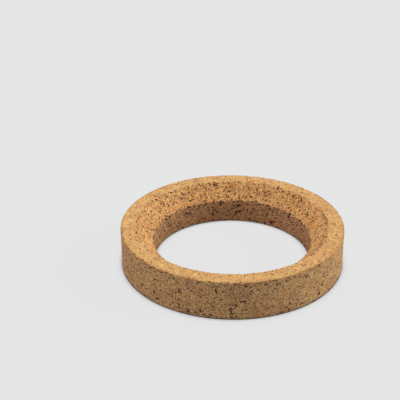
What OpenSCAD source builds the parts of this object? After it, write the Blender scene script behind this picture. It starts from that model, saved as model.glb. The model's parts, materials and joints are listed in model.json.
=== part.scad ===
// Cork ring: a stand for a round-bottomed flask.
// One piece of agglomerated cork, turned and sanded: a plain cylinder outside, a flat rim on top,
// a conical seat that narrows down to a straight bore, and a flat base.
// The axis is Z, the base lies on Z = 0 and the seat opens upwards.

/* [Ring] */
// Outside diameter
outer_d = 170; // [160:1:220]
// Diameter of the straight bore under the seat
bore_d = 120; // [80:1:130]
// Height from the base to the rim
height = 30; // [20:1:50]

/* [Seat] */
// Width of the flat rim around the mouth of the seat
rim_w = 12; // [6:0.5:14]
// How far the conical seat goes down from the rim
seat_depth = 12; // [4:0.5:16]

/* [Edges] */
// Radius that sanding leaves on the edges of the rim and the base
sanded_r = 0.6; // [0.2:0.1:1]
// Radius that wear leaves where the seat meets the bore
seat_edge_r = 1.2; // [0.4:0.1:1.5]

/* [Hidden] */
$fn = 180;
cork_colour = [0.84, 0.66, 0.44];

outer_r = outer_d / 2;
bore_r = bore_d / 2;
mouth_r = outer_r - rim_w;
seat_floor = height - seat_depth;

// The corners of the wall's section as [radius, height, edge radius], anticlockwise from the foot of the bore.
corners = [
    [bore_r, 0, sanded_r],
    [outer_r, 0, sanded_r],
    [outer_r, height, sanded_r],
    [mouth_r, height, sanded_r],
    [bore_r, seat_floor, seat_edge_r],
];

function point(c) = [c[0], c[1]];
function unit(v) = v / norm(v);
function next_to(i, step) = point(corners[(i + step + len(corners)) % len(corners)]);

// Directions from corner i along its two sides.
function side(i, step) = unit(next_to(i, step) - point(corners[i]));

// Half of the angle between the two sides at corner i.
function half_angle(i) = acos(side(i, 1) * side(i, -1)) / 2;

// Where the edge arc of corner i touches the side that goes towards its neighbour.
function touch(i, step) =
    point(corners[i]) + side(i, step) * corners[i][2] / tan(half_angle(i));

// Centre of the edge arc of corner i, on the line that halves the corner.
function arc_centre(i) =
    point(corners[i]) + unit(side(i, 1) + side(i, -1)) * corners[i][2] / sin(half_angle(i));

// Section of the wall: straight sides between the touching points, and a round edge at each corner.
module wall_section() {
    polygon([for (i = [0:len(corners) - 1]) for (step = [-1, 1]) touch(i, step)]);
    for (i = [0:len(corners) - 1])
        translate(arc_centre(i)) circle(r = corners[i][2]);
}

module cork_ring() {
    color(cork_colour) rotate_extrude() wall_section();
}

cork_ring();
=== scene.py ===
# Cork ring for a round-bottomed flask: the looks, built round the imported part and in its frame, in metres.
import json
import math
import bpy
import numpy as np
from mathutils import Matrix, Vector


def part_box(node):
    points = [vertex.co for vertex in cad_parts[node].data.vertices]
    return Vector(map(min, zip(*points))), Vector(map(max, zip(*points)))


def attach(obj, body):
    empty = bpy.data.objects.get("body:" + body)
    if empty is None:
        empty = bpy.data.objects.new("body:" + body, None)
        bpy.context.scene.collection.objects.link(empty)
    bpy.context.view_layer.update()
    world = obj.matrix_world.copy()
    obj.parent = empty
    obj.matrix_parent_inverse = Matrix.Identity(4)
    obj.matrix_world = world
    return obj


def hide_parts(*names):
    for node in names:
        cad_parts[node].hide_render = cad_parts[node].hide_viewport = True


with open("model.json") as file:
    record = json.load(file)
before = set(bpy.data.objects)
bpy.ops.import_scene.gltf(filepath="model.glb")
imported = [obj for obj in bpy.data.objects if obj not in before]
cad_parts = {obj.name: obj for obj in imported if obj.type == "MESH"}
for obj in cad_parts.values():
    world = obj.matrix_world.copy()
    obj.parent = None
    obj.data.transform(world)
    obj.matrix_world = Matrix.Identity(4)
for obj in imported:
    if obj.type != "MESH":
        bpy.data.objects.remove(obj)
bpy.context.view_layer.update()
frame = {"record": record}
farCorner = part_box("cork_ring")[1]
boreMount = next(mount for mount in frame["record"]["mounts"] if mount["name"] == "bore")
millimetre = 0.001

# The turned ring, the columns of its mesh, and the size of its granules and of the crumbs between them. softening:
# how far along the section the way in is averaged. looseness: how much sooner or later, over a granule's size, a
# hole opens beside it by chance. The reach and tint at the outer edges: how far from them the cork is darkened, and
# to what; this is partly handling wear and partly painted shade, on the rounded top edge and at the foot beside the
# floor.
ring = {
    "outerRadius": farCorner.x,
    "boreRadius": boreMount["dims"]["r_mm"] * millimetre,
    "height": farCorner.z,
    "rimWidth": 12 * millimetre,
    "seatDepth": 12 * millimetre,
    "columns": 700,
    "edgeRows": 3,
    "softening": 2 * millimetre,
    "granule": 2.6 * millimetre,
    "crumb": 1.25 * millimetre,
    "looseness": 0.20,
    "wearAndShadeReach": 2.4 * millimetre,
    "wearAndShadeTint": (0.80, 0.75, 0.73),
}

# Edges of the wall's section, anticlockwise from the foot of the bore: the radius that sanding or wear left, and how
# deep the edge may be chipped, in millimetres.
edges = {
    "boreFoot": {"radius": 0.6 * millimetre, "chip": 0.5},
    "wallFoot": {"radius": 0.6 * millimetre, "chip": 0.3},
    "wallTop": {"radius": 0.6 * millimetre, "chip": 0.35},
    "seatTop": {"radius": 0.6 * millimetre, "chip": 0.7},
    "seatFoot": {"radius": 1.2 * millimetre, "chip": 0.9},
}

# Sides between those edges, from the base on: rows of the mesh, and how the side was left. relief: how far the
# granules stand over each other, in millimetres. gapFrom and poreFrom: how far from a granule's or a crumb's middle,
# over its size, a hole opens. torn: share of granules pulled out. dust: how far sanding dust evens the colour.
# fleck: strength of the small brown flecks and number of bark crumbs. grain: strength of the fine mottling. black:
# how black holes and bark are, rather than reddish brown; this is partly painted shade, set blacker on the sides
# that the light grazes than on the rim, on which it falls. tint: what the colour is multiplied by; on the seat it
# is partly painted light, redder and lighter for light bounced in its hollows, and on the bore partly painted
# shade, darker.
sides = {
    "base": {"rows": 8, "relief": 0.06, "gapFrom": 0.98, "poreFrom": 0.94, "torn": 0.02,
             "dust": 0.2, "fleck": 0.5, "grain": 0.7, "black": 0.5, "tint": (0.95, 0.95, 1.00)},
    "wall": {"rows": 40, "relief": 0.12, "gapFrom": 0.90, "poreFrom": 0.845, "torn": 0.03,
             "dust": 0.0, "fleck": 0.9, "grain": 0.95, "black": 0.93, "tint": (1.105, 1.07, 1.045)},
    "rim": {"rows": 18, "relief": 0.05, "gapFrom": 0.93, "poreFrom": 0.93, "torn": 0.00,
            "dust": 0.1, "fleck": 0.75, "grain": 0.8, "black": 0.15, "tint": (1.08, 1.03, 0.875)},
    # the seat's tint is partly painted light: redder and lighter, for light bounced in its hollows
    "seat": {"rows": 29, "relief": 0.36, "gapFrom": 0.86, "poreFrom": 0.82, "torn": 0.14,
             "dust": 0.0, "fleck": 0.8, "grain": 1.0, "black": 0.72, "tint": (1.21, 1.07, 0.855)},
    # the bore's tint is partly painted shade: darker and redder than the wall's
    "bore": {"rows": 27, "relief": 0.20, "gapFrom": 0.84, "poreFrom": 0.81, "torn": 0.06,
             "dust": 0.0, "fleck": 0.9, "grain": 0.9, "black": 0.85, "tint": (0.99, 0.87, 0.89)},
}


def sectionCorners(part):
    # The five corners of the wall's section as (radius, height), in the order of the edges.
    outer, inner, top = part["outerRadius"], part["boreRadius"], part["height"]
    mouth, seatFloor = outer - part["rimWidth"], top - part["seatDepth"]
    return np.array([(inner, 0), (outer, 0), (outer, top), (mouth, top), (inner, seatFloor)])


def toEdges(rows, part, names):
    # Distance of each row from each named edge, in the plane of the section.
    corners = sectionCorners(part)[[list(edges).index(name) for name in names]]
    return np.linalg.norm(rows[:, None] - corners, axis=-1)


def sectionRows(part):
    # Rows of the wall's section, anticlockwise from the foot of the bore. At each corner an arc touches both of its
    # sides: its centre lies on the line that halves the corner, radius / cos(turn / 2) in from it. Between the arcs
    # the side is cut into equal steps. Gives each row's (radius, height), its outward normal and its place along
    # the sides, where 0 is the middle of the base, 1 that of the wall and so on.
    corners = sectionCorners(part)
    radii = np.array([edge["radius"] for edge in edges.values()])
    leaving = np.roll(corners, -1, 0) - corners
    leaving /= np.linalg.norm(leaving, axis=1, keepdims=True)
    coming = np.roll(leaving, 1, 0)
    turn = np.arctan2(coming[:, 0] * leaving[:, 1] - coming[:, 1] * leaving[:, 0], (coming * leaving).sum(1))
    inward = leaving - coming
    inward /= np.linalg.norm(inward, axis=1, keepdims=True)
    centres = corners + inward * (radii / np.cos(turn / 2))[:, None]
    cut = radii * np.tan(turn / 2)
    firstAngle = np.arctan2(-coming[:, 0], coming[:, 1])
    rows, normals, places = [], [], []
    for i, side in enumerate(sides.values()):
        start = i - 0.5
        share = np.linspace(0, 1, part["edgeRows"] + 1)
        angles = firstAngle[i] + turn[i] * share
        directions = np.stack([np.cos(angles), np.sin(angles)], 1)
        rows.append(centres[i] + directions * radii[i])
        normals.append(directions)
        places.append(np.full(len(share), start))
        after = (i + 1) % len(corners)
        first, last = corners[i] + leaving[i] * cut[i], corners[after] - leaving[i] * cut[after]
        share = np.linspace(0, 1, side["rows"] + 1)[1:-1]
        rows.append(first + (last - first) * share[:, None])
        normals.append(np.repeat(directions[-1:], len(share), 0))
        places.append(start + share)
    return np.concatenate(rows), np.concatenate(normals), np.concatenate(places)


def softened(rows, normals, reach):
    # Each row's normal averaged over the section within reach of it, each neighbour counting (1 - gap / reach) times
    # its share of the section, so that what is carved at an edge goes straight in and doesn't cross itself.
    steps = np.linalg.norm(np.roll(rows, -1, 0) - rows, axis=1)
    along = np.concatenate([[0], np.cumsum(steps)])
    gap = np.abs(along[:-1, None] - along[None, :-1])
    gap = np.minimum(gap, along[-1] - gap)
    weights = np.clip(1 - gap / reach, 0, None) * (steps + np.roll(steps, 1))
    mean = weights @ normals
    return mean / np.linalg.norm(mean, axis=1, keepdims=True)


def revolve(rows, normals, columns):
    # Each row turned round the axis: point(row, column) = (r cos a, r sin a, z), with a even round the circle.
    around = np.arange(columns) / columns * 2 * math.pi
    turn = np.stack([np.cos(around), np.sin(around)], -1)[None]
    flat = np.ones((1, columns))
    points = np.dstack([rows[:, None, :1] * turn, rows[:, 1:] * flat])
    outward = np.dstack([normals[:, None, :1] * turn, normals[:, 1:] * flat])
    return points, outward


def closedGridFaces(rowCount, columnCount):
    # Quads between neighbouring rows and columns; both directions close on themselves.
    row, column = np.meshgrid(np.arange(rowCount), np.arange(columnCount), indexing="ij")
    nextRow, nextColumn = (row + 1) % rowCount, (column + 1) % columnCount
    corners = [row * columnCount + column, row * columnCount + nextColumn,
               nextRow * columnCount + nextColumn, nextRow * columnCount + column]
    return np.stack(corners, -1).reshape(-1, 4)


def cellRandoms(x, y, z):
    # Three random numbers from 0 to 1 for each cell of a cubic lattice, by the bit mixing that the Voronoi texture
    # uses, so that the granules in the mesh are the granules in the material.
    def turned(value, by):
        return (value << np.uint32(by)) | (value >> np.uint32(32 - by))

    def mixed(a, b, c):
        for by in (4, 6, 8, 16, 19, 4):
            a = (a - c) ^ turned(c, by)
            c = c + b
            a, b, c = b, c, a
        return a, b, c

    def finished(a, b, c):
        for by in (14, 11, 25, 16, 4, 14, 24):
            c = (c ^ b) - turned(b, by)
            a, b, c = b, c, a
        return b

    bits = [value.astype(np.float32).view(np.uint32) for value in (x, y, z)]
    seed = 0xDEADBEEF + 13
    numbers = [finished(*(value + np.uint32(seed + 12) for value in bits))]
    for extra in (1.0, 2.0):
        a, b, c = mixed(*(value + np.uint32(seed + 16) for value in bits))
        numbers.append(finished(a + np.float32(extra).view(np.uint32), b, c))
    return np.stack(numbers, -1) / 0xFFFFFFFF


def granules(points, size):
    # Packed granules, one at a random place in each cell of a cubic lattice. For each point: how far the nearest
    # granule's middle is, how much farther the next one is, both over the size, and the nearest one's randoms.
    place = points / size
    cell = np.floor(place)
    within = place - cell
    nearest = np.full(points.shape[:-1], np.inf)
    second = nearest.copy()
    randoms = np.zeros_like(points)
    for step in np.ndindex(3, 3, 3):
        offset = np.array(step) - 1.0
        number = cellRandoms(*np.moveaxis(cell + offset, -1, 0))
        distance = np.linalg.norm(offset + number - within, axis=-1)
        closer = distance < nearest
        second = np.where(closer, nearest, np.minimum(second, distance))
        randoms = np.where(closer[..., None], number, randoms)
        nearest = np.where(closer, distance, nearest)
    return nearest, second - nearest, randoms


def smoothStep(span, value):
    # 0 before the span and 1 after it, with share * share * (3 - 2 * share) between; a span may run downwards.
    share = np.clip((value - span[0]) / (span[1] - span[0]), 0, 1)
    return share * share * (3 - 2 * share)


# How the cork is carved. Depths are in millimetres, and a pair says from where to where an effect grows. shoulder and
# bowl: in from a granule's border. tear: how much sooner holes open at the seat's edges, where the cutter tore the
# cork. lip: round the distance at which a gap opens. near: towards an edge. chippedGranules and chippedCrumbs: by
# their random number. steepest, leastLean and passes keep the carved section from folding.
carving = {
    "granuleShare": 0.6,
    "crumbShare": 0.4,
    "shoulder": (0.0, 0.35),
    "tear": 0.10,
    "tearReach": (1.5 * millimetre, 0.3 * millimetre),
    "lip": (-0.05, 0.08),
    "gapDepth": 0.75,
    "bowl": (0.05, 0.5),
    "bowlDepth": 0.7,
    "near": (1.6 * millimetre, 0.2 * millimetre),
    "chippedGranules": (0.16, 0.04),
    "chippedCrumbs": (0.14, 0.05),
    "deepest": 1.2,
    "lessAtEdges": 0.4,
    "steepest": 0.8,
    "leastLean": 0.05,
    "passes": 8,
}


def alongSection(places, values):
    # A value for each row from one value for each side, with a short slope from side to side at each corner.
    slope = 0.03
    middles = np.arange(-1, len(values) + 1)
    keys = np.stack([middles - 0.5 + slope, middles + 0.5 - slope], 1).ravel()
    return np.interp(places, keys, np.repeat(np.asarray(values)[middles % len(values)], 2))


def finishOfRows(name, rows, places, part):
    # Each row's value of the finish. Holes open sooner along the seat's two edges.
    values = alongSection(places, [side[name] for side in sides.values()])
    if name not in ("gapFrom", "poreFrom"):
        return values
    toSeatEdge = toEdges(rows, part, ("seatTop", "seatFoot")).min(1)
    return values - carving["tear"] * smoothStep(carving["tearReach"], toSeatEdge)


def tintOfRows(rows, places, part):
    # Each side's tint, times 1 away from the outer edges and falling to a darker edge tint at the edge itself: partly
    # handling wear, partly painted shade on the rounded top edge and at the foot beside the floor.
    tint = [alongSection(places, [side["tint"][channel] for side in sides.values()]) for channel in range(3)]
    near = smoothStep((part["wearAndShadeReach"], 0), toEdges(rows, part, ("wallFoot", "wallTop")).min(1))
    return np.stack(tint, -1) * (1 - near[:, None] * (1 - np.array(part["wearAndShadeTint"])))


def carve(points, rows, places, part):
    # Depth under the turned shape: each granule sits a little lower or higher by chance, gaps open where every
    # granule's middle is far, torn granules leave a bowl, and granules on an edge may be chipped.
    def ofSide(name):
        return finishOfRows(name, rows, places, part)[:, None]

    far, beside, randoms = granules(points, part["granule"])
    crumbChance = granules(points, part["crumb"])[2]
    byGranule = carving["granuleShare"] * randoms[..., 1] * smoothStep(carving["shoulder"], beside)
    steps = ofSide("relief") * (byGranule + carving["crumbShare"] * crumbChance[..., 1])
    gapFrom = ofSide("gapFrom") + part["looseness"] * (randoms[..., 2] - 0.5)
    gaps = smoothStep((gapFrom + carving["lip"][0], gapFrom + carving["lip"][1]), far)
    torn = (randoms[..., 2] < ofSide("torn")) * smoothStep(carving["bowl"], beside)
    chips = [edge["chip"] for edge in edges.values()]
    nearEdge = (smoothStep(carving["near"], toEdges(rows, part, edges)) * chips).max(1)[:, None]
    chipped = nearEdge * (smoothStep(carving["chippedGranules"], randoms[..., 0])
                          + smoothStep(carving["chippedCrumbs"], crumbChance[..., 0]))
    depth = steps + carving["gapDepth"] * gaps + carving["bowlDepth"] * torn + chipped
    return np.minimum(depth, carving["deepest"] - carving["lessAtEdges"] * nearEdge) * millimetre


def unfolded(depth, rows, normals, directions):
    # Along the section no row goes deeper than the row beside it by more than steepest / lean times the step between
    # them, where lean is the sine of the angle between the way in and the surface's own normal.
    lean = np.sqrt(np.clip(1 - (normals * directions).sum(1) ** 2, 0, 1))
    lean = np.maximum(lean, carving["leastLean"])
    steps = np.linalg.norm(np.roll(rows, -1, 0) - rows, axis=1)
    most = (carving["steepest"] * steps / np.maximum(lean, np.roll(lean, -1)))[:, None]
    for _ in range(carving["passes"]):
        depth = np.minimum(depth, np.roll(depth, -1, 0) + most)
        depth = np.minimum(depth, np.roll(depth + most, 1, 0))
    return depth


def pieceFromArrays(name, points, faces):
    # A smooth piece from its points and its quads.
    mesh = bpy.data.meshes.new(name)
    mesh.vertices.add(len(points))
    mesh.vertices.foreach_set("co", points.astype(np.float32).ravel())
    mesh.loops.add(faces.size)
    mesh.loops.foreach_set("vertex_index", faces.astype(np.int32).ravel())
    mesh.polygons.add(len(faces))
    mesh.polygons.foreach_set("loop_start", np.arange(0, faces.size, 4, dtype=np.int32))
    mesh.polygons.foreach_set("use_smooth", np.ones(len(faces), bool))
    mesh.update(calc_edges=True)
    piece = bpy.data.objects.new(name, mesh)
    bpy.context.scene.collection.objects.link(piece)
    return piece


def storeByRow(piece, name, values, columns):
    # One number or one vector for each row, the same in all its columns, for the material to read.
    kind, field = ("FLOAT", "value") if values.ndim == 1 else ("FLOAT_VECTOR", "vector")
    attribute = piece.data.attributes.new(name, kind, "POINT")
    attribute.data.foreach_set(field, np.repeat(values, columns, 0).astype(np.float32).ravel())


rows, normals, places = sectionRows(ring)
directions = softened(rows, normals, ring["softening"])
points, outward = revolve(rows, directions, ring["columns"])
depth = unfolded(carve(points, rows, places, ring), rows, normals, directions)
points = points - outward * depth[..., None]
corkRing = pieceFromArrays("ring", points.reshape(-1, 3), closedGridFaces(len(rows), ring["columns"]))
storeByRow(corkRing, "tint", tintOfRows(rows, places, ring), ring["columns"])
for name in ("relief", "gapFrom", "poreFrom", "dust", "fleck", "grain", "black"):
    storeByRow(corkRing, name, finishOfRows(name, rows, places, ring), ring["columns"])
print("ring:", len(rows), "rows,", 2 * len(corkRing.data.polygons), "triangles")


def node(tree, kind, inputs=None, **settings):
    # A shader node. Its settings come first, as they decide which inputs it has. An input is linked or set.
    made = tree.nodes.new("ShaderNode" + kind)
    for name, value in settings.items():
        setattr(made, name, value)
    for name, value in (inputs or {}).items():
        if isinstance(value, bpy.types.NodeSocket):
            tree.links.new(value, made.inputs[name])
        else:
            made.inputs[name].default_value = value
    return made


def maths(tree, operation, *values):
    return node(tree, "Math", dict(enumerate(values)), operation=operation).outputs[0]


def vectors(tree, operation, *values):
    made = node(tree, "VectorMath", dict(enumerate(values)), operation=operation)
    return made.outputs["Value" if operation == "DOT_PRODUCT" else "Vector"]


def stretched(tree, vector, by):
    # The vector times a number.
    return node(tree, "VectorMath", {0: vector, "Scale": by}, operation="SCALE").outputs["Vector"]


def ramp(tree, value, span, low=0.0, high=1.0):
    # Rises smoothly from low to high while the value goes through the span.
    inputs = {"Value": value, "From Min": span[0], "From Max": span[1], "To Min": low, "To Max": high}
    return node(tree, "MapRange", inputs, interpolation_type="SMOOTHSTEP").outputs["Result"]


def blend(tree, share, first, second, **settings):
    # First where the share is 0, second where it is 1.
    inputs = {"Factor": share, "A": first, "B": second}
    return node(tree, "Mix", inputs, data_type="RGBA", **settings).outputs["Result"]


def tinted(tree, colour, by, share=1.0):
    # The colour times another one, as far as the share says.
    return blend(tree, share, colour, by, blend_type="MULTIPLY")


def centred(tree, value, much):
    # What a value from 0 to 1 is above a half, times how much it counts.
    return maths(tree, "MULTIPLY_ADD", value, much, -0.5 * much)


def noise(tree, place, grain, detail=2.0):
    # Noise from 0 to 1 whose grains are that many millimetres across.
    inputs = {"Vector": place, "Scale": 1 / (grain * millimetre), "Detail": detail, "Roughness": 0.6}
    return node(tree, "TexNoise", inputs).outputs[0]


def grey(level):
    return (level, level, level, 1)


def nodeGroup(name, inputs, outputs):
    # An empty group with its named sockets, and the sockets inside it that give and take their values.
    group = bpy.data.node_groups.new(name, "ShaderNodeTree")
    for direction, sockets in (("INPUT", inputs), ("OUTPUT", outputs)):
        for socketName, kind in sockets.items():
            group.interface.new_socket(socketName, in_out=direction, socket_type="NodeSocket" + kind)
    return group, group.nodes.new("NodeGroupInput").outputs, group.nodes.new("NodeGroupOutput").inputs


# How a granule looks. waves: how many its outline has. layers: about how many layers of cells cross it. layersApart:
# how far apart granules of different tone read the noise that draws their layers.
granuleLook = {"waves": 2.6, "layers": 9.0, "layersApart": 40.0}


def granuleGroup():
    # Granules of one size, packed as in the mesh but with borders that wander. Gives three random numbers for each,
    # how near its border is, how far its middle is, and the fine layers that it shows in a direction of its own.
    group, given, result = nodeGroup(
        "corkGranules", {"Position": "Vector", "Size": "Float", "Wander": "Float"},
        {"Tone": "Float", "Kind": "Float", "Torn": "Float", "Border": "Float", "Far": "Float", "Layers": "Float"})
    middle = (0.5, 0.5, 0.5)
    steady = stretched(group, given["Position"], maths(group, "DIVIDE", 1.0, given["Size"]))
    waves = {"Vector": steady, "Scale": granuleLook["waves"], "Detail": 2.0, "Roughness": 0.6}
    wavy = node(group, "TexNoise", waves).outputs["Color"]
    sway = stretched(group, vectors(group, "SUBTRACT", wavy, middle), given["Wander"])
    packing = {"Vector": vectors(group, "ADD", steady, sway), "Scale": 1.0, "Randomness": 1.0}
    cells = node(group, "TexVoronoi", packing, feature="F1").outputs
    border = node(group, "TexVoronoi", packing, feature="DISTANCE_TO_EDGE").outputs["Distance"]
    randoms = node(group, "SeparateColor", {"Color": cells["Color"]}).outputs
    heading = vectors(group, "NORMALIZE", vectors(group, "SUBTRACT", cells["Color"], middle))
    along = vectors(group, "DOT_PRODUCT", heading, packing["Vector"])
    apart = maths(group, "MULTIPLY", randoms[0], granuleLook["layersApart"])
    across = {"W": maths(group, "MULTIPLY_ADD", along, granuleLook["layers"], apart),
              "Scale": 1.0, "Detail": 2.0, "Roughness": 0.7}
    layers = node(group, "TexNoise", across, noise_dimensions="1D").outputs[0]
    made = {"Tone": randoms[0], "Kind": randoms[1], "Torn": randoms[2], "Border": border,
            "Far": cells["Distance"], "Layers": layers}
    for name, socket in made.items():
        group.links.new(socket, result[name])
    return group


# The cork's colours, and how its patterns are laid over each other. Sizes are in millimetres, and a pair says from
# where to where an effect grows.
cork = {
    # a granule's colour goes from brown over tan to pale, by its tone; some kinds are rusty
    "brown": (0.52, 0.275, 0.110, 1),
    "tan": (0.67, 0.405, 0.17, 1),
    "pale": (0.74, 0.51, 0.240, 1),
    "tanBetween": (0.30, 0.70),
    "rust": (0.62, 0.30, 0.11, 1),
    "rustKinds": (0.8, 1.0),
    "rustShare": 0.5,
    # soft clouds
    "umber": (0.47, 0.22, 0.115, 1),
    "clouds": {"grain": 9, "detail": 2.0, "span": (0.45, 0.65)},
    "cloudShare": 0.4,
    # what the colour is multiplied by where it is redder or less red, and where it is warmer or greyer
    "straw": (0.99, 1.00, 0.99, 1),
    "rose": (1.03, 0.97, 0.97, 1),
    "redder": {"grain": 3.5, "detail": 1.0, "span": (0.35, 0.65)},
    "honey": (1.04, 0.99, 0.81, 1),
    "ash": (0.96, 1.01, 1.19, 1),
    "greyer": {"grain": 1.1, "detail": 3.0, "span": (0.35, 0.65)},
    # light and dark: how much red, green and blue take part; layers of cells, mottling and the finest grain
    "shade": (0.72, 1.16, 1.04),
    "layerSpan": (0.3, 0.7),
    "layerDepth": 0.20,
    "mottling": {"grain": 0.75, "detail": 1.0, "span": (0.3, 0.7)},
    "mottlingDepth": 0.42,
    "finest": {"grain": 0.3, "detail": 3.0, "span": (0.3, 0.7)},
    "finestDepth": 0.30,
    # small flecks, and dark lines that come and go along the borders; their width is over the granule's size
    "fleck": (0.19, 0.083, 0.052, 1),
    "rustyFleck": (0.24, 0.088, 0.024, 1),
    "flecks": {"grain": 0.8, "detail": 1.0, "span": (0.60, 0.66)},
    "fleckShare": 0.7,
    "lines": {"grain": 1.7, "detail": 2.0, "span": (0.35, 0.65)},
    "lineWidth": 0.05,
    "lineShare": 0.6,
    # bark: its share of the crumbs, how far the last of them shrink, and their ragged edges, over the crumb's size
    "bark": (0.056, 0.026, 0.023, 1),
    "char": (0.20, 0.072, 0.038, 1),
    # void: near black, for the blackest bark, and as painted shade for the inside of holes
    "void": (0.009, 0.005, 0.010, 1),
    "barkShare": 0.098,
    "shrinking": (0.2, 1.0),
    "shrunk": 0.26,
    "blackest": (0.0, 0.12),
    "barkEdge": (0.0, 0.05),
    "barkRough": {"grain": 0.5, "much": 0.20},
    "barkMottling": {"grain": 0.4, "detail": 3.0, "span": (0.3, 0.7)},
    "barkLevels": (0.5, 1.5),
    # holes, over the size of the granule or the crumb beside them, with a darker rim
    "holeRough": {"grain": 0.7, "much": 0.3},
    "holeLip": (-0.05, 0.07),
    "holeColours": (0.0, 0.5),
    "holeBlack": (0.3, 0.8),
    "haloReach": (-0.16, 0.02),
    "haloShare": 0.4,
    # where the kind of a large granule is below this, crumbs show in its place
    "crumbly": 0.65,
    "granuleWander": 0.20,
    "crumbWander": 0.25,
    # the surface: heights are in millimetres, and count more where the granules stand over each other
    "ior": 1.45,
    "specular": 0.5,
    "pores": {"grain": 0.45, "detail": 3.0},
    "poreSpan": (0.2, 0.8),
    "roughness": (0.82, 0.96),
    "borderSpan": (0.0, 0.12),
    "heights": {"border": 0.07, "tone": 0.08, "layers": 0.06, "pores": 0.12, "hole": -0.5, "bark": -0.1},
    "heightByRelief": (4.0, 0.25),
}


def shaded(much):
    # What a colour is multiplied by to be lighter or darker; a darker place in cork is also a little redder.
    return tuple(1 + channel * much for channel in cork["shade"]) + (1,)


def pattern(tree, place, name, most=1.0):
    # One of the cork's patterns, from 0 to the most.
    wanted = cork[name]
    return ramp(tree, noise(tree, place, wanted["grain"], wanted["detail"]), wanted["span"], 0.0, most)


def granuleColour(tree, place, tone, kind, layers, grain):
    # Each granule's own colour, with clouds, changes of hue, light and dark over it.
    colours = node(tree, "ValToRGB", {"Fac": tone})
    stops = colours.color_ramp.elements
    stops[0].color, stops[1].color = cork["brown"], cork["pale"]
    for stop in cork["tanBetween"]:
        stops.new(stop).color = cork["tan"]
    rusty = ramp(tree, kind, cork["rustKinds"], 0.0, cork["rustShare"])
    colour = blend(tree, rusty, colours.outputs["Color"], cork["rust"])
    colour = blend(tree, pattern(tree, place, "clouds", cork["cloudShare"]), colour, cork["umber"])
    for name, first, second in (("redder", "straw", "rose"), ("greyer", "honey", "ash")):
        hue = blend(tree, pattern(tree, place, name), cork[first], cork[second])
        colour = tinted(tree, colour, hue)
    shades = ((ramp(tree, layers, cork["layerSpan"]), cork["layerDepth"]),
              (pattern(tree, place, "mottling"), cork["mottlingDepth"]),
              (pattern(tree, place, "finest"), cork["finestDepth"]))
    for shade, depth in shades:
        colour = tinted(tree, colour, blend(tree, shade, shaded(-depth), shaded(depth)), grain)
    return colour


def fleckedColour(tree, place, colour, border, stored):
    # The colour with small flecks, evened by sanding dust, and with lines along the granules' borders.
    fleckColour = blend(tree, stored["black"], cork["rustyFleck"], cork["fleck"])
    most = maths(tree, "MULTIPLY", stored["fleck"], cork["fleckShare"])
    colour = blend(tree, pattern(tree, place, "flecks", most), colour, fleckColour)
    colour = blend(tree, stored["dust"], colour, cork["tan"])
    near = ramp(tree, border, (0.0, cork["lineWidth"]), 1.0, 0.0)
    line = maths(tree, "MULTIPLY", near, pattern(tree, place, "lines"))
    return blend(tree, maths(tree, "MULTIPLY", line, cork["lineShare"]), colour, fleckColour)


def barkCrumbs(tree, place, crumb, stored):
    # Some crumbs are bark. A crumb's rank is its kind over the share of them that are bark: the last ranks shrink
    # within their borders, the others are blackest. Gives where bark is, and its colour.
    rough = centred(tree, noise(tree, place, cork["barkRough"]["grain"]), cork["barkRough"]["much"])
    rank = maths(tree, "DIVIDE", crumb["Kind"], maths(tree, "MULTIPLY", stored["fleck"], cork["barkShare"]))
    shrink = ramp(tree, rank, cork["shrinking"], 0.0, cork["shrunk"])
    within = maths(tree, "SUBTRACT", maths(tree, "ADD", crumb["Border"], rough), shrink)
    bark = maths(tree, "MULTIPLY", ramp(tree, within, cork["barkEdge"]), maths(tree, "LESS_THAN", rank, 1.0))
    colour = blend(tree, ramp(tree, shrink, cork["blackest"]), cork["void"], cork["bark"])
    colour = blend(tree, stored["black"], cork["char"], colour)
    darkest, lightest = cork["barkLevels"]
    mottling = blend(tree, pattern(tree, place, "barkMottling"), grey(darkest), grey(lightest))
    return bark, tinted(tree, colour, mottling)


def openHoles(tree, place, large, crumb, stored):
    # Holes between granules and between crumbs, with ragged outlines, and the halo round each.
    rough = centred(tree, noise(tree, place, cork["holeRough"]["grain"]), cork["holeRough"]["much"])
    holes, halos = [], []
    for cells, start in ((large, stored["gapFrom"]), (crumb, stored["poreFrom"])):
        far = maths(tree, "ADD", cells["Far"], rough)
        loose = centred(tree, cells["Torn"], ring["looseness"])
        beyond = maths(tree, "SUBTRACT", far, maths(tree, "ADD", start, loose))
        holes.append(ramp(tree, beyond, cork["holeLip"]))
        halos.append(ramp(tree, beyond, cork["haloReach"], 0.0, cork["haloShare"]))
    return maths(tree, "MAXIMUM", *holes), maths(tree, "MAXIMUM", *halos)


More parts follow.
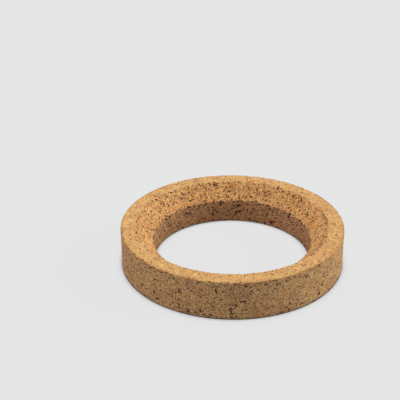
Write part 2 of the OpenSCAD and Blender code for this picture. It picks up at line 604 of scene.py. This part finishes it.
def corkMaterial():
    # Agglomerated cork: granules or crumbs, flecks, bark, the side's tint, then holes, and a bump from all of them.
    material = bpy.data.materials.new("agglomeratedCork")
    material.use_nodes = True
    tree = material.node_tree
    shader = tree.nodes["Principled BSDF"].inputs
    shader["IOR"].default_value = cork["ior"]
    shader["Specular IOR Level"].default_value = cork["specular"]
    place = node(tree, "TexCoord").outputs["Object"]
    stored = {name: node(tree, "Attribute", attribute_name=name).outputs["Fac"]
              for name in ("relief", "gapFrom", "poreFrom", "dust", "fleck", "grain", "black")}
    tint = node(tree, "Attribute", attribute_name="tint").outputs["Vector"]
    group = granuleGroup()
    large, crumb = (
        node(tree, "Group", {"Position": place, "Size": size, "Wander": wander}, node_tree=group).outputs
        for size, wander in ((ring["granule"], cork["granuleWander"]), (ring["crumb"], cork["crumbWander"])))
    crumbly = maths(tree, "LESS_THAN", large["Kind"], cork["crumbly"])
    tone, kind, border, layers = (blend(tree, crumbly, large[name], crumb[name])
                                  for name in ("Tone", "Kind", "Border", "Layers"))

    colour = granuleColour(tree, place, tone, kind, layers, stored["grain"])
    colour = fleckedColour(tree, place, colour, border, stored)
    bark, barkColour = barkCrumbs(tree, place, crumb, stored)
    colour = tinted(tree, blend(tree, bark, colour, barkColour), tint)
    hole, halo = openHoles(tree, place, large, crumb, stored)
    colour = blend(tree, halo, colour, cork["char"])
    # The inside of a hole is painted shade: reddish brown going to near black as far as the side's black level says.
    black = maths(tree, "MULTIPLY", ramp(tree, hole, cork["holeBlack"]), stored["black"])
    inside = blend(tree, black, cork["char"], cork["void"])
    colour = blend(tree, ramp(tree, hole, cork["holeColours"]), colour, inside)

    pores = noise(tree, place, cork["pores"]["grain"], cork["pores"]["detail"])
    roughness = ramp(tree, pores, cork["poreSpan"], *cork["roughness"])
    heights = cork["heights"]
    height = maths(tree, "MULTIPLY", ramp(tree, border, cork["borderSpan"]), heights["border"])
    for name, value in (("tone", tone), ("layers", layers), ("pores", pores), ("hole", hole), ("bark", bark)):
        height = maths(tree, "MULTIPLY_ADD", value, heights[name], height)
    strength = maths(tree, "MULTIPLY_ADD", stored["relief"], *cork["heightByRelief"])
    height = maths(tree, "MULTIPLY", height, strength)
    bump = node(tree, "Bump", {"Height": height, "Distance": millimetre, "Strength": 1.0}).outputs["Normal"]
    for name, value in (("Base Color", colour), ("Roughness", roughness), ("Normal", bump)):
        tree.links.new(value, shader[name])
    return material


corkRing.data.materials.append(corkMaterial())
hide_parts("cork_ring")
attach(corkRing, "root")
print("cork: material made")


# Floor, world and lights. floorShown and horizon are what the camera sees, floorLit and ambient what the ring gets
# light from. The floor is darkest in the crack under an edge, and within contactReach of an edge it keeps its
# shadow, which farther out is lessened. Tilts and directions are in degrees, and levels are over what white needs.
studio = {
    "floorSize": 3.0,
    "floorShown": (0.784, 0.783, 0.782, 1),
    "floorLit": 0.38,
    "shadowTint": (0.94, 1.0, 1.06, 1),
    "shadowLess": 0.9,
    "contactReach": 6 * millimetre,
    "contactOpen": (0.4, 0.9),
    "crackReach": 1.4 * millimetre,
    "crackOpen": (0.45, 0.85),
    "crackLevel": 0.04,
    "horizon": 0.785,
    "ambient": 0.24,
    "overhead": {"tilt": 6, "towards": 100, "spread": 40, "level": 0.62, "colour": (1, 1, 1)},
    "right": {"tilt": 74, "towards": 8, "spread": 40, "level": 0.155, "colour": (0.97, 1.035, 0.99)},
    "left": {"tilt": 74, "towards": -160, "spread": 40, "level": 0.055, "colour": (1, 1, 1)},
}


def seenDirectly(tree):
    # 1 where the camera sees this itself, in a reflection or through something clear.
    path = node(tree, "LightPath").outputs
    reflected = maths(tree, "MAXIMUM", path["Is Glossy Ray"], path["Is Transmission Ray"])
    return maths(tree, "MAXIMUM", path["Is Camera Ray"], reflected)


def openness(tree, reach):
    # 1 where nothing stands within reach, falling towards 0 in a corner.
    return node(tree, "AmbientOcclusion", {"Distance": reach}, samples=8).outputs["AO"]


def paleFloor():
    # A plain floor of even brightness, which still shows the soft shadow close to what stands on it.
    half = studio["floorSize"]
    mesh = bpy.data.meshes.new("floor")
    mesh.from_pydata([(-half, -half, 0), (half, -half, 0), (half, half, 0), (-half, half, 0)], [], [(0, 1, 2, 3)])
    floor = bpy.data.objects.new("floor", mesh)
    bpy.context.scene.collection.objects.link(floor)
    material = bpy.data.materials.new("paleFloor")
    material.use_nodes = True
    tree = material.node_tree
    tree.nodes.clear()
    seen = seenDirectly(tree)
    # Painted contact shade: the colour that the camera sees is darkened in the crack under an edge.
    paintedCrackShade = ramp(tree, openness(tree, studio["crackReach"]), studio["crackOpen"], studio["crackLevel"], 1.0)
    shown = tinted(tree, tinted(tree, studio["floorShown"], studio["shadowTint"]), paintedCrackShade)
    lit = node(tree, "BsdfDiffuse", {"Color": blend(tree, seen, grey(studio["floorLit"]), shown)})
    even = node(tree, "Emission", {"Color": studio["floorShown"]})
    away = ramp(tree, openness(tree, studio["contactReach"]), studio["contactOpen"], 0.0, studio["shadowLess"])
    evenShare = maths(tree, "MULTIPLY", away, seen)
    surface = node(tree, "MixShader", {0: evenShare, 1: lit.outputs[0], 2: even.outputs[0]})
    tree.links.new(surface.outputs[0], node(tree, "OutputMaterial").inputs["Surface"])
    mesh.materials.append(material)
    return floor


def studioWorld():
    # Even light all round, behind which the camera sees the floor's own brightness.
    world = bpy.data.worlds.new("studio")
    world.use_nodes = True
    tree = world.node_tree
    colour = blend(tree, seenDirectly(tree), grey(studio["ambient"]), grey(studio["horizon"]))
    tree.links.new(colour, tree.nodes["Background"].inputs["Color"])
    return world


def softLight(name, tilt, towards, spread, level, colour):
    # A broad light from one direction, tilt degrees from overhead. A level face gets level times what white needs.
    tilt, towards = math.radians(tilt), math.radians(towards)
    lamp = bpy.data.lights.new(name, "SUN")
    lamp.angle = math.radians(spread)
    lamp.energy = level * math.pi / math.cos(tilt)
    lamp.color = colour
    light = bpy.data.objects.new(name, lamp)
    towardsLight = Vector((math.sin(tilt) * math.cos(towards), math.sin(tilt) * math.sin(towards), math.cos(tilt)))
    light.rotation_mode = "QUATERNION"
    light.rotation_quaternion = towardsLight.to_track_quat("Z", "Y")
    bpy.context.scene.collection.objects.link(light)


# Where the camera stands, how many degrees it looks down and leans, and its lens in millimetres.
camera = {"place": (-0.02431, -0.6246, 0.3716), "down": 27.225, "roll": -0.494, "lens": 83.92}


def placedCamera():
    # The camera turned down from level, then rolled, and put in its place.
    data = bpy.data.cameras.new("camera")
    data.lens = camera["lens"]
    placed = bpy.data.objects.new("camera", data)
    placed.matrix_world = (Matrix.Translation(camera["place"])
                           @ Matrix.Rotation(math.radians(90 - camera["down"]), 4, "X")
                           @ Matrix.Rotation(math.radians(camera["roll"]), 4, "Z"))
    bpy.context.scene.collection.objects.link(placed)
    return placed


paleFloor()
scene = bpy.context.scene
scene.world = studioWorld()
for name in ("overhead", "right", "left"):
    softLight(name + "Light", **studio[name])
scene.camera = placedCamera()
scene.view_settings.view_transform = "Standard"
print("studio: floor, lights and camera placed")
